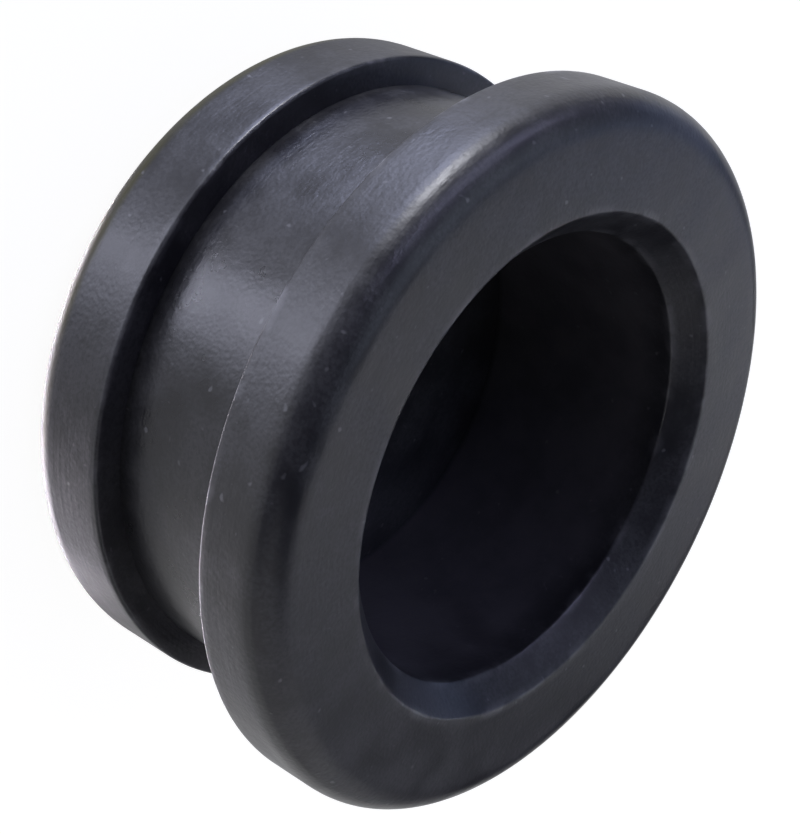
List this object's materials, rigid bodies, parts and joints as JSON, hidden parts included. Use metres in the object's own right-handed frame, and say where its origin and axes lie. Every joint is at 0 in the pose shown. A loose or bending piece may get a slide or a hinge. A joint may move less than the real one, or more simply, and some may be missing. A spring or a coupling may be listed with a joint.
{
  "type": "rubber plug",
  "caption": "Round rubber hole plug: a neck between a broad soft-edged flange and a smaller one, with a bevel-mouthed blind recess; pushes into a panel hole to close it.",
  "frame": {"origin": "centre of the flat rear end, which the plug stands on", "axes": "+Z along the plug's axis, out of the mouth of the recess; X and Y are any pair across it"},
  "size_m": [0.0382, 0.0382, 0.0188],
  "materials": {
    "black_rubber": "satin moulded rubber"
  },
  "bodies": {
    "root": {"plug_body": "black_rubber"}
  },
  "joints": []
}
